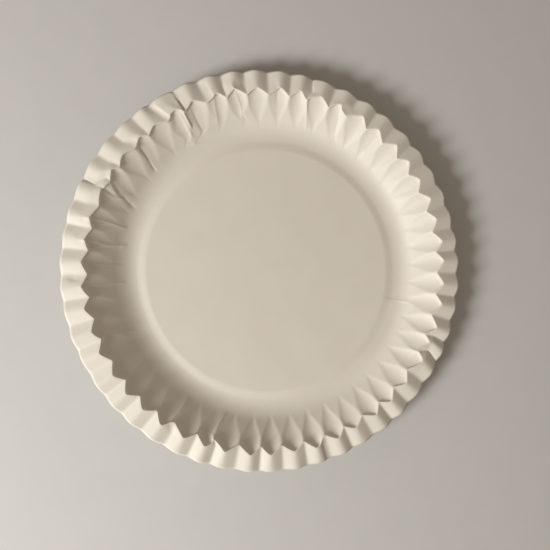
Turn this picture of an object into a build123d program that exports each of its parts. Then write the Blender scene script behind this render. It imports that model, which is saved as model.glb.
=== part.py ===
from build123d import *
import os
from math import cos, hypot, radians, sin, tan

# A disposable paper plate, pressed in one stroke from a flat disc of coated board.
# Millimetres. The origin is on the surface the plate stands on, under its centre. +Z is up.

# ---- driving dimensions ----
sheet = 0.4             # thickness of the board
rim_radius = 115.0      # outer edge, at the middle of its wave
flange_width = 11.5     # across the flange, from the middle of the zigzag crest to the edge
wall_width = 25.5       # across the wall, from the middle of the foot to the crest
foot_width = 1.0        # the flat ring that the plate stands on
panel_raise = 0.8       # the floor of the well stands this much above the foot
panel_step = 5.5        # width of the gentle step from the floor down to the foot
cove_radius = 16.0      # inside of the bend from the foot up into the wall
wall_angle = 40.0       # slope of the wall
flange_angle = 10.0     # slope of the flange, which falls outwards
flutes = 51             # leaf-shaped grooves pressed into the wall, each with a ridge in the flange
first_flute = 2.35      # turn from +X to the middle of the first groove, in degrees
groove_depth = 2.0      # groove below the plain wall beside it, at the crest
flange_wave = 2.4       # flange ridge above its valleys
plain_wall = 2.0        # wall above the cove before the grooves begin to deepen
groove_foot = 0.10      # share of the pitch that a groove takes up where it begins
groove_top = 0.90       # share of the pitch that it takes up at the crest
crest_bend = 1.3        # length of the rounded fold on each side of the crest line

# ---- sizes that follow ----
pitch = 360 / flutes
crest_radius = rim_radius - flange_width
foot_radius = crest_radius - wall_width
floor_radius = foot_radius - foot_width / 2 - panel_step


def slope(angle):
    """Unit direction of a line in the meridian plane that rises outwards at this angle."""
    return (cos(radians(angle)), sin(radians(angle)))


def along(point, direction, distance):
    """The point this distance further on, in the meridian plane."""
    return (point[0] + distance * direction[0], point[1] + distance * direction[1])


def heading(start, end):
    """Unit direction from one meridian point to another."""
    length = hypot(end[0] - start[0], end[1] - start[1])
    return ((end[0] - start[0]) / length, (end[1] - start[1]) / length)


def below(point, direction, distance):
    """The point this distance under a line that runs outwards in this direction."""
    return (point[0] + distance * direction[1], point[1] - distance * direction[0])


def meeting(point_a, direction_a, point_b, direction_b):
    """Where two meridian lines cross."""
    across = direction_a[0] * direction_b[1] - direction_a[1] * direction_b[0]
    gap = (point_b[0] - point_a[0], point_b[1] - point_a[1])
    return along(point_a, direction_a, (gap[0] * direction_b[1] - gap[1] * direction_b[0]) / across)


def underside(line):
    """The same run of straight lines, one sheet lower, with mitred corners."""
    runs = [heading(a, b) for a, b in zip(line, line[1:])]
    points = [below(line[0], runs[0], sheet)]
    for corner, before, after in zip(line[1:], runs, runs[1:]):
        points.append(meeting(below(corner, before, sheet), before, below(corner, after, sheet), after))
    return points + [below(line[-1], runs[-1], sheet)]


# ---- meridian of the upper face ----
# The smooth part: flat floor, step, flat foot. Then the cove, up to the wall's slope.
floor_end = (floor_radius, panel_raise + sheet)
foot_start = (foot_radius - foot_width / 2, sheet)
foot_end = (foot_radius + foot_width / 2, sheet)
cove_centre = (foot_end[0], sheet + cove_radius)
cove_end = below(cove_centre, slope(wall_angle), cove_radius)
smooth_line = [(0, floor_end[1]), floor_end, foot_start, foot_end]

# The fluted part: the plain start of the wall, the corner of the crest, the outer edge.
plain_end = along(cove_end, slope(wall_angle), plain_wall)
crest_rise = (crest_radius - cove_end[0]) * tan(radians(wall_angle))
crest = (crest_radius, cove_end[1] + crest_rise)
edge = along(crest, slope(-flange_angle), flange_width / cos(radians(flange_angle)))


def fluted_line(wave):
    """Meridian of the fluted part: wave 1 follows a groove and its ridge, -1 a land and its valley."""
    wall_line = below(crest, slope(wall_angle), wave * groove_depth / 2)
    flange_line = below(crest, slope(-flange_angle), -wave * flange_wave / 2)
    corner = meeting(wall_line, slope(wall_angle), flange_line, slope(-flange_angle))
    return [cove_end, plain_end, corner, below(edge, slope(-flange_angle), -wave * flange_wave / 2)]


def polar(point, angle):
    """A meridian point turned to this angle about the plate's axis."""
    return Vector(point[0] * cos(radians(angle)), point[0] * sin(radians(angle)), point[1])


# ---- faces of one flute ----
# A strip is a groove with its ridge, or the land beside it with its valley. Each row of a strip's
# net is three control points and their weights. A row with no wave in it is a true arc.
def row(sides, middle, start, end):
    """A row between two angles, with its sides on one meridian and its middle on another."""
    weight = cos(radians((end - start) / 2))
    left = polar(sides, start)
    right = polar(sides, end)
    top = polar(middle, (start + end) / 2)
    return [left, (top * (2 + 2 * weight) - left - right) / (2 * weight), right], [1, weight, 1]


def patch(rows):
    """The face over a run of rows."""
    return Face.make_bezier_surface([points for points, _ in rows], [weights for _, weights in rows])


def between(row_a, row_b, share):
    """The row this share of the way from one row to another."""
    points = [a + (b - a) * share for a, b in zip(row_a[0], row_b[0])]
    weights = [a + (b - a) * share for a, b in zip(row_a[1], row_b[1])]
    return points, weights


def span(strip, share):
    """First and last angle of a strip, where the groove takes up this share of the pitch."""
    half = share * pitch / 2
    return (-half, half) if strip == "groove" else (half, pitch - half)


def strip_faces(strip, side_line, middle_line):
    """Wall, rounded crest and flange of one strip on one side of the sheet, and its outer row."""
    shares = [groove_foot, groove_foot, groove_top, groove_top]
    rows = [row(s, m, *span(strip, share)) for s, m, share in zip(side_line, middle_line, shares)]
    start, plain, corner, outer = rows
    wall_length = hypot(side_line[2][0] - side_line[1][0], side_line[2][1] - side_line[1][1])
    flange_length = hypot(side_line[3][0] - side_line[2][0], side_line[3][1] - side_line[2][1])
    wall_end = between(plain, corner, 1 - crest_bend / wall_length)
    flange_start = between(corner, outer, crest_bend / flange_length)
    nets = [[start, plain, wall_end], [wall_end, corner, flange_start], [flange_start, outer]]
    return [patch(net) for net in nets], outer


def smooth_faces(strip, line, bend_radius):
    """One strip's share of the step, foot and cove, on one side of the sheet."""
    first, last = span(strip, groove_foot)
    corners = [polar(point, first) for point in line[1:]]
    edges = [Edge.make_line(a, b) for a, b in zip(corners, corners[1:])]
    middle = polar(below(cove_centre, slope(wall_angle / 2), bend_radius), first)
    end = polar(below(cove_centre, slope(wall_angle), bend_radius), first)
    edges.append(Edge.make_three_point_arc(corners[-1], middle, end))
    return [Face.revolve(edge_line, last - first, Axis.Z) for edge_line in edges]


def floor_face(point):
    """The flat floor inside this meridian point, bounded by an arc for each strip."""
    ends = sorted(
        angle + index * pitch
        for index in range(flutes)
        for angle in span("groove", groove_foot)
    )
    arcs = [
        Edge.make_three_point_arc(polar(point, a), polar(point, (a + b) / 2), polar(point, b))
        for a, b in zip(ends, ends[1:] + [ends[0] + 360])
    ]
    return Face(Wire(arcs))


def one_flute():
    """All the faces of one groove and the land beside it."""
    land_line = fluted_line(-1)
    groove_line = fluted_line(1)
    faces = []
    for strip, middle_line in (("groove", groove_line), ("land", land_line)):
        upper, upper_edge = strip_faces(strip, land_line, middle_line)
        lower, lower_edge = strip_faces(strip, underside(land_line), underside(middle_line))
        faces += upper + lower + [patch([upper_edge, lower_edge])]
        faces += smooth_faces(strip, smooth_line, cove_radius)
        faces += smooth_faces(strip, underside(smooth_line), cove_radius + sheet)
    return faces


def plate():
    """The whole plate: one flute's faces repeated round the axis, closed by the floor."""
    flute = one_flute()
    faces = [face.rotate(Axis.Z, index * pitch) for index in range(flutes) for face in flute]
    faces.append(floor_face(smooth_line[1]))
    faces.append(floor_face(underside(smooth_line)[1]))
    return Solid(Shell(faces)).clean().rotate(Axis.Z, first_flute)


os.makedirs("parts", exist_ok=True)
paper_plate = plate()
export_step(paper_plate, "parts/paper_plate.step")
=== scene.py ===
from math import atan2, cos, degrees, exp, floor, pi, radians, sin, sqrt, tan
from random import Random

import bmesh
import bpy
from mathutils import Matrix, Vector, noise


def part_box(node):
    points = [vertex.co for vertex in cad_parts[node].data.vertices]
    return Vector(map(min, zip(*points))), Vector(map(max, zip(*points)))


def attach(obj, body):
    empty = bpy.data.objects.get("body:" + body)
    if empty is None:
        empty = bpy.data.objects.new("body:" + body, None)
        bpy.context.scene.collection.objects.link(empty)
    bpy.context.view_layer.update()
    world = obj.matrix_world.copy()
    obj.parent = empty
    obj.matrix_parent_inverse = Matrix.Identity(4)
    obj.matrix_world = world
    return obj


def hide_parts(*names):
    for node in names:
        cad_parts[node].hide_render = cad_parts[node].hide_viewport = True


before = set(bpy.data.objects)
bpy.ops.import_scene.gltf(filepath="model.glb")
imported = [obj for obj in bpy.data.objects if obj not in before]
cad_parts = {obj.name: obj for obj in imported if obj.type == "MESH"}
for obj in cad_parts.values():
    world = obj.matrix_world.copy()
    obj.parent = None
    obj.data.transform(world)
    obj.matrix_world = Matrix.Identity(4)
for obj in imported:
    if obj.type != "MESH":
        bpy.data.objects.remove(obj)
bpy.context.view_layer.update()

# A disposable paper plate of white coated board, with the creases of a plate that has been handled.
# Sizes are in millimetres until the mesh is finished, and angles are in degrees from +X.
MM = 0.001
low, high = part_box("paper_plate")

# ---- sizes of the plate, read from the frame or set inside it ----
SHEET = 0.4                                   # board thickness
FLUTES = 51
PITCH = 360 / FLUTES
FIRST_FLUTE = 2.35                            # middle of the first groove
FLANGE_SLOPE = 10.0
WALL_SLOPE = 40.0
FOLD_SLOPE = 10.0                             # taken as the lie of the rounded fold between them
FLANGE_WAVE = 2.4                             # ridge above valley
GROOVE_DEPTH = 2.0                            # groove below the plain wall, at the crest
FLANGE_WIDTH = 12.3
OUTER = (high[0] - low[0]) / 2 / MM           # outermost point of the wavy edge
RIM = OUTER - FLANGE_WAVE / 2 * sin(radians(FLANGE_SLOPE))
CREST = RIM - FLANGE_WIDTH
FOOT_INNER, FOOT_OUTER = 77.5, 78.5           # flat ring the plate stands on
FLOOR_EDGE = 72.0                             # where the flat floor ends
FLOOR_RAISE = 0.8                             # floor above the foot
COVE = 16.0                                   # bend from the foot up into the wall
WELL_DRIFT = 1.6                              # the well was pressed this far towards +X of the rim
GROOVE_START = -5.0                           # the grooves begin this far before the cove ends


def meridian(angle):
    """Unit vector that rises outwards at this angle, as (radius, height)."""
    return Vector((cos(radians(angle)), sin(radians(angle))))


def under(direction):
    """Unit vector square to a meridian direction, pointing below the sheet."""
    return Vector((direction.y, -direction.x))


def meeting(point_a, direction_a, point_b, direction_b):
    """Where two lines in the meridian plane cross."""
    across = direction_a.x * direction_b.y - direction_a.y * direction_b.x
    gap = point_b - point_a
    return point_a + direction_a * ((gap.x * direction_b.y - gap.y * direction_b.x) / across)


WALL = meridian(WALL_SLOPE)
FLANGE = meridian(-FLANGE_SLOPE)
cove_end = Vector((FOOT_OUTER, SHEET + COVE)) + under(WALL) * COVE
crest_middle = Vector((CREST, cove_end.y + (CREST - cove_end.x) * tan(radians(WALL_SLOPE))))
edge_middle = crest_middle + FLANGE * (FLANGE_WIDTH / cos(radians(FLANGE_SLOPE)))


def crest_corner(wave):
    """Corner of the crest: wave 1 is where a groove meets its ridge, -1 a land and its valley."""
    wall_point = crest_middle + under(WALL) * (wave * GROOVE_DEPTH / 2)
    flange_point = crest_middle - under(FLANGE) * (wave * FLANGE_WAVE / 2)
    return meeting(wall_point, WALL, flange_point, FLANGE)


land_corner = crest_corner(-1)
groove_corner = crest_corner(1)
valley_edge = edge_middle + under(FLANGE) * (FLANGE_WAVE / 2)
ridge_edge = edge_middle - under(FLANGE) * (FLANGE_WAVE / 2)

# ---- rings of the blank, from the centre out: what part of the form each is pressed into ----
WALL_ROWS, FOLD_ROWS, FLANGE_ROWS, COVE_ROWS = 17, 6, 10, 11
FOLD = 0.85                                   # half length of the rounded fold at the crest
rings = [("flat", r) for r in (0.0, 14.0, 32.0, 50.0, 64.0, 69.5, 71.6)]
rings += [("flat", FLOOR_EDGE + 5.5 * i / 6) for i in range(7)]
rings += [("flat", 77.9), ("flat", FOOT_OUTER)]
rings += [("cove", (i + 1) / COVE_ROWS) for i in range(COVE_ROWS)]
rings += [("wall", (i + 1) / WALL_ROWS) for i in range(WALL_ROWS)]
rings += [("fold", (i + 1) / FOLD_ROWS) for i in range(FOLD_ROWS)]
rings += [("flange", (i + 1) / FLANGE_ROWS) for i in range(FLANGE_ROWS)]
COLUMNS = FLUTES * 16

# ---- how uneven the flutes came out of the press: each has its own strength and lean ----
chance = Random(51)
WALL_FORCE = [chance.uniform(0.78, 1.02) for _ in range(FLUTES)]
RIM_FORCE = [chance.uniform(0.82, 1.12) for _ in range(FLUTES)]
LEAN = [chance.uniform(-0.45, 0.45) for _ in range(FLUTES)]
WEAK_SIDE, WEAK_SPREAD = 152.0, 58.0          # the flutes are pressed least round here
WEAK_WALL, WEAK_RIM = 0.42, 0.22              # share of their strength that wall and rim lose there

# ---- creases and slow bends ----
RELAX = 5.0                                   # columns straighten this far past a crease's ends
CREASE_END = 3.0                              # a crease fades out over this length
STEEP_SIDE = 0.45                             # width of the steep side of a lap
NOTCH, NOTCH_WIDTH = 1.6, 0.5                 # a slit draws the edge in by this much
SAG, SAG_SIZE = 0.22, 26.0                    # slow waviness, and the size of its swells
FOOT_LIFT, LIFT_END = 0.38, 346.4             # the foot is lifted along one stretch, up to a kink

# ---- creases: (angle, radius) from the inner end to the outer, height, width, kind ----
# A fold stands above the sheet when its height is positive. A lap has one steep side.
CREASES = [
    ([(121.5, 84), (120.6, 92), (120.4, 104)], 0.55, 1.3, "fold"),
    ([(119.3, 92), (119.3, 116)], 0.85, 2.2, "slit"),
    ([(116.3, 85), (116.4, 101)], -0.30, 0.9, "fold"),
    ([(123.4, 100), (125.8, 113)], 0.45, 1.1, "fold"),
    ([(112.0, 82), (117.0, 83.2), (121.0, 85.5)], 0.25, 1.2, "fold"),
    ([(140.1, 86), (138.1, 95), (137.0, 103.5)], -0.50, 1.1, "fold"),
    ([(156.4, 84.5), (154.7, 91.5), (151.4, 103)], -0.45, 1.3, "fold"),
    ([(154.7, 91), (156.1, 96), (155.6, 103)], 0.40, 1.0, "fold"),
    ([(154.9, 96), (154.9, 116)], -0.65, 1.6, "slit"),
    ([(164.7, 85), (164.4, 95), (165.3, 106.5)], 0.55, 1.4, "fold"),
    ([(171.1, 83), (172.2, 92), (171.7, 98), (172.1, 106)], 0.50, 1.2, "fold"),
    ([(178.8, 84), (178.8, 101)], 0.25, 1.5, "lap"),
    ([(185.7, 83), (185.9, 95), (185.4, 105)], 0.40, 1.0, "fold"),
    ([(184.2, 105), (183.6, 111)], -0.30, 0.8, "fold"),
    ([(204.8, 84), (203.9, 90), (202.5, 98)], 0.25, 1.0, "fold"),
    ([(238.0, 87), (236.4, 102)], 0.30, 1.0, "fold"),
    ([(253.2, 86), (250.6, 99)], 0.35, 1.0, "fold"),
    ([(286.7, 103), (286.7, 116)], -0.60, 1.3, "fold"),
    ([(331.0, 100), (333.2, 106.5), (331.1, 115.5)], -0.60, 1.6, "fold"),
    ([(63.0, 86), (65.9, 103)], -0.35, 1.0, "fold"),
    ([(76.2, 107), (76.8, 114)], 0.35, 0.9, "fold"),
    ([(75.3, 87), (77.4, 102)], 0.40, 0.9, "fold"),
    ([(87.6, 97), (87.6, 106)], -0.30, 0.9, "fold"),
    ([(100.3, 88), (100.3, 97), (102.0, 107)], 0.45, 1.0, "fold"),
    ([(98.6, 87), (100.0, 93)], -0.30, 0.8, "fold"),
    ([(109.6, 90), (108.4, 103), (109.1, 109)], 0.45, 1.0, "fold"),
    ([(51.0, 92), (50.4, 101)], -0.25, 0.8, "fold"),
    ([(346.9, 77.5), (346.9, 89)], 0.30, 1.6, "lap"),
]


def smooth(x):
    """0 below 0, 1 above 1, with an eased ramp between."""
    x = min(max(x, 0.0), 1.0)
    return x * x * (3 - 2 * x)


def zigzag(s, rounding):
    """1 at the middle of a flute, 0 at its sides, straight between, with a rounded peak."""
    reach = sqrt(1 + rounding * rounding) - rounding
    return 1 - (sqrt(s * s + rounding * rounding) - rounding) / reach


def trough(s, half_width):
    """A groove's section: 1 in the middle, 0 past its shoulders, with softened shoulders."""
    level = 1 - (s / half_width) ** 2
    return 0.5 * (level + sqrt(level * level + 0.01))


def flat_height(r):
    """Upper face of the floor, the step and the foot."""
    share = min(max((r - FLOOR_EDGE) / (FOOT_INNER - FLOOR_EDGE), 0.0), 1.0)
    share = (share + smooth(share)) / 2
    return SHEET + FLOOR_RAISE * (1 - share)


def turned(angle, other):
    """Signed turn from one angle to another, between -180 and 180."""
    return (angle - other + 180) % 360 - 180


def forces(turn):
    """Wall strength, rim strength and lean at this flute count, eased from flute to flute."""
    first = floor(turn)
    mix = smooth(turn - first)
    here, after = first % FLUTES, (first + 1) % FLUTES
    values = [row[here] * (1 - mix) + row[after] * mix for row in (WALL_FORCE, RIM_FORCE, LEAN)]
    weak = exp(-((turned(FIRST_FLUTE + turn * PITCH, WEAK_SIDE) / WEAK_SPREAD) ** 2))
    return values[0] * (1 - WEAK_WALL * weak), values[1] * (1 - WEAK_RIM * weak), values[2]


def pressed(kind, share, s, wall_force, rim_force):
    """Meridian point of a ring at place s of a flute: 0 is its middle, 1 and -1 its sides."""
    if kind == "flat":
        return Vector((share, flat_height(share)))
    if kind == "cove":
        turn = meridian(share * WALL_SLOPE)
        point = Vector((FOOT_OUTER, SHEET + COVE)) + under(turn) * COVE
        before = (share - 1) * radians(WALL_SLOPE) * COVE
        return point + under(turn) * groove(before, s, wall_force)
    corner = land_corner.lerp(groove_corner, zigzag(s, 0.12) * wall_force)
    edge = valley_edge.lerp(ridge_edge, ridge(s) * rim_force)
    length = (corner - cove_end).length
    if kind == "wall":
        along = share * (length - FOLD)
        run = (corner - cove_end) / length
        return cove_end + WALL * along * run.dot(WALL) + under(WALL) * groove(along, s, wall_force)
    start = cove_end + WALL * ((length - FOLD) * (corner - cove_end).dot(WALL) / length)
    start = start + under(WALL) * groove(length - FOLD, s, wall_force)
    finish = corner + (edge - corner).normalized() * FOLD
    if kind == "fold":
        return start * (1 - share) ** 2 + corner * (2 * share * (1 - share)) + finish * share ** 2
    return finish.lerp(edge, share)


def above(kind, share):
    """Unit vector out of the upper face of a ring, in the meridian plane."""
    slopes = {"flat": 0.0, "cove": share * WALL_SLOPE, "wall": WALL_SLOPE, "fold": FOLD_SLOPE}
    return -under(meridian(slopes.get(kind, -FLANGE_SLOPE)))


def path_angle(path, r):
    """Angle of a crease's path at this radius."""
    for (a, inner), (b, outer) in zip(path, path[1:]):
        if r <= outer:
            return a + (b - a) * min(max((r - inner) / (outer - inner), 0.0), 1.0)
    return path[-1][0]


def lined_up(angle, r):
    """Move a column of points sideways so that columns follow the creases and crowd round them."""
    for path, height, width, kind in CREASES:
        middle = round((path[0][0] + path[-1][0]) / 2 * COLUMNS / 360) * 360 / COLUMNS
        spread = max(abs(a - middle) for a, radius in path)
        away = turned(angle, middle)
        reach = 3.0 * spread + 2.6
        if abs(away) > reach or r < path[0][1] - RELAX or r > path[-1][1] + RELAX:
            continue
        hold = smooth((r - path[0][1] + RELAX) / RELAX) * smooth((path[-1][1] + RELAX - r) / RELAX)
        follow = (path_angle(path, r) - middle) * (1 - smooth(abs(away) / reach))
        crowd = -0.5 * away * exp(-((away / 1.1) ** 2))
        angle = angle + (follow + crowd) * hold
    return angle


def creased(angle, r):
    """Height of the creases above the sheet, and how far a torn edge draws in."""
    lift = drawn = 0.0
    for path, height, width, kind in CREASES:
        if r < path[0][1] or r > path[-1][1] or abs(turned(angle, path[0][0])) > 12:
            continue
        end = 1.0 if path[-1][1] > 114 else smooth((path[-1][1] - r) / CREASE_END)
        fade = smooth((r - path[0][1]) / CREASE_END) * end
        across = radians(turned(angle, path_angle(path, r))) * r
        if kind == "fold" or across > 0:
            lift += height * fade * exp(-abs(across) / width)
        else:
            lift += height * fade * max(0.0, 1 + across / STEEP_SIDE)
        if kind == "slit":
            drawn += NOTCH * smooth((r - 108) / 7) * exp(-abs(across) / NOTCH_WIDTH)
    return lift, drawn


def sagged(angle, r):
    """Slow waviness of a plate that has been carried about, and the foot lifted along one stretch."""
    away = smooth(r / 30) * (1 - 0.85 * exp(-(((r - 78) / 6) ** 2)))
    place = Vector((cos(radians(angle)), sin(radians(angle)), 0.0)) * r / SAG_SIZE
    slow = SAG * noise.noise(place) * away
    turn = angle % 360
    part = smooth((turn - 285) / 35) * (1 - smooth((turn - LIFT_END) / 0.9))
    return slow + FOOT_LIFT * part * exp(-(((r - 79) / 4.5) ** 2))


def ridge(s):
    """Section of the flange at the edge: a rounded ridge and a sharper valley."""
    x, bend = abs(s), 0.42
    fall = x * x / (2 * bend) if x < bend else x - bend / 2
    return 1 - fall / (1 - bend / 2)


def groove(along, s, strength):
    """Depth of the groove below the plain wall, this far up the wall from the cove's end."""
    full = (land_corner - cove_end).length
    rise = (along - GROOVE_START) / (full - GROOVE_START)
    if rise <= 0:
        return 0.0
    half_width = 0.12 + 0.84 * smooth(rise * 1.15)
    return GROOVE_DEPTH * min(rise, 1.2) ** 1.5 * trough(s, half_width) * strength


def pressed_plate():
    """The plate's upper face: a flat blank with a ring of points for each step of the form."""
    bm = bmesh.new()
    points = [bm.verts.new((float(i), 0.0, 0.0)) for i in range(len(rings))]
    lines = [bm.edges.new(pair) for pair in zip(points, points[1:])]
    bmesh.ops.spin(
        bm, geom=points + lines, cent=(0, 0, 0), axis=(0, 0, 1), angle=2 * pi, steps=COLUMNS, use_merge=True
    )
    bmesh.ops.remove_doubles(bm, verts=bm.verts, dist=0.001)
    bmesh.ops.recalc_face_normals(bm, faces=bm.faces)
    for vert in bm.verts:
        ring = round(vert.co.xy.length)
        angle = degrees(atan2(vert.co.y, vert.co.x))
        turn = (angle - FIRST_FLUTE) / PITCH
        s = 2 * (turn - round(turn))
        wall_force, rim_force, lean = forces(turn)
        point = pressed(*rings[ring], s, wall_force, rim_force)
        r = point.x
        angle = lined_up(angle + lean * smooth((r - 80) / 20), r)
        lift, drawn = creased(angle, r)
        point = point + above(*rings[ring]) * (lift + sagged(angle, r))
        point.x -= drawn
        drift = WELL_DRIFT * (1 - smooth((r - 82) / 20))
        across = Vector((cos(radians(angle)), sin(radians(angle)), 0.0)) * point.x
        vert.co = (across + Vector((drift, 0.0, point.y))) * MM
    if sum(face.normal.z for face in bm.faces) < 0:
        bmesh.ops.reverse_faces(bm, faces=bm.faces)
    mesh = bpy.data.meshes.new("pressed_plate")
    bm.to_mesh(mesh)
    bm.free()
    mesh.shade_smooth()
    plate = bpy.data.objects.new("pressed_plate", mesh)
    bpy.context.scene.collection.objects.link(plate)
    return plate


def board_material(name, colour, roughness, mottle, bump):
    """Paperboard: a faint cloudy tone and a fine fibrous surface."""
    material = bpy.data.materials.new(name)
    material.use_nodes = True
    tree = material.node_tree
    nodes, links = tree.nodes, tree.links
    shader = nodes["Principled BSDF"]
    shader.inputs["Roughness"].default_value = roughness
    shader.inputs["Specular IOR Level"].default_value = 0.35
    place = nodes.new("ShaderNodeTexCoord")
    cloud = nodes.new("ShaderNodeTexNoise")
    cloud.inputs["Scale"].default_value = 60.0
    cloud.inputs["Detail"].default_value = 4.0
    links.new(place.outputs["Object"], cloud.inputs["Vector"])
    tone = nodes.new("ShaderNodeValToRGB")
    tone.color_ramp.elements[0].position = 0.3
    tone.color_ramp.elements[1].position = 0.7
    tone.color_ramp.elements[0].color = (*[c * (1 - mottle) for c in colour], 1)
    tone.color_ramp.elements[1].color = (*colour, 1)
    links.new(cloud.outputs["Fac"], tone.inputs["Fac"])
    links.new(tone.outputs["Color"], shader.inputs["Base Color"])
    fibre = nodes.new("ShaderNodeTexNoise")
    fibre.inputs["Scale"].default_value = 900.0
    fibre.inputs["Detail"].default_value = 6.0
    links.new(place.outputs["Object"], fibre.inputs["Vector"])
    relief = nodes.new("ShaderNodeBump")
    relief.inputs["Strength"].default_value = bump
    relief.inputs["Distance"].default_value = 0.0002
    links.new(fibre.outputs["Fac"], relief.inputs["Height"])
    links.new(relief.outputs["Normal"], shader.inputs["Normal"])
    return material


def finish_plate(plate):
    """Give the sheet its thickness and its three finishes: coated face, plain back, cut edge."""
    plate.data.materials.append(board_material("coated_face", (0.80, 0.755, 0.67), 0.5, 0.03, 0.15))
    plate.data.materials.append(board_material("plain_back", (0.78, 0.73, 0.64), 0.8, 0.06, 0.35))
    plate.data.materials.append(board_material("cut_edge", (0.74, 0.69, 0.60), 0.9, 0.10, 0.5))
    wall = plate.modifiers.new("board_thickness", "SOLIDIFY")
    wall.thickness = SHEET * MM
    wall.offset = -1.0
    wall.use_even_offset = True
    wall.material_offset = 1
    wall.material_offset_rim = 2
    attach(plate, "root")
    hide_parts("paper_plate")


def studio_floor():
    """A plain pale floor under the plate."""
    bm = bmesh.new()
    bmesh.ops.create_grid(bm, x_segments=1, y_segments=1, size=1.5)
    mesh = bpy.data.meshes.new("studio_floor")
    bm.to_mesh(mesh)
    bm.free()
    ground = bpy.data.objects.new("studio_floor", mesh)
    bpy.context.scene.collection.objects.link(ground)
    ground.location.z = -0.00005
    ground.data.materials.append(board_material("floor_paper", (0.66, 0.655, 0.64), 0.9, 0.02, 0.0))


def camera():
    """Looking almost straight down, from a little to the left."""
    data = bpy.data.cameras.new("camera")
    data.sensor_width = 36.0
    data.lens = 36.09
    eye = bpy.data.objects.new("camera", data)
    bpy.context.scene.collection.objects.link(eye)
    right = Vector((0.98843, 0.0, 0.1517)).normalized()
    back = Vector((-0.15157, -0.03776, 0.9877)).normalized()
    up = back.cross(right).normalized()
    right = up.cross(back)
    turn = Matrix((right, up, back)).transposed().to_4x4()
    eye.matrix_world = Matrix.Translation((-0.0451, -0.0158, 0.3264)) @ turn
    bpy.context.scene.camera = eye


def lights():
    """A large soft window light, low from the front left, and a faint warm room."""
    azimuth, elevation, distance, size = radians(210), radians(31.5), 1.05, 0.30
    data = bpy.data.lights.new("window", "AREA")
    data.shape = "RECTANGLE"
    data.size = size
    data.size_y = size
    data.energy = 9.3 * distance * distance
    data.color = (1.0, 0.99, 0.97)
    window = bpy.data.objects.new("window", data)
    bpy.context.scene.collection.objects.link(window)
    aim = Vector((cos(azimuth) * cos(elevation), sin(azimuth) * cos(elevation), sin(elevation)))
    window.location = aim * distance
    window.rotation_euler = aim.to_track_quat("Z", "Y").to_euler()
    world = bpy.data.worlds.new("room")
    world.use_nodes = True
    world.node_tree.nodes["Background"].inputs["Color"].default_value = (1.0, 0.85, 0.70, 1)
    world.node_tree.nodes["Background"].inputs["Strength"].default_value = 0.26
    bpy.context.scene.world = world


plate = pressed_plate()
finish_plate(plate)
studio_floor()
camera()
lights()
bpy.context.scene.view_settings.view_transform = "Standard"
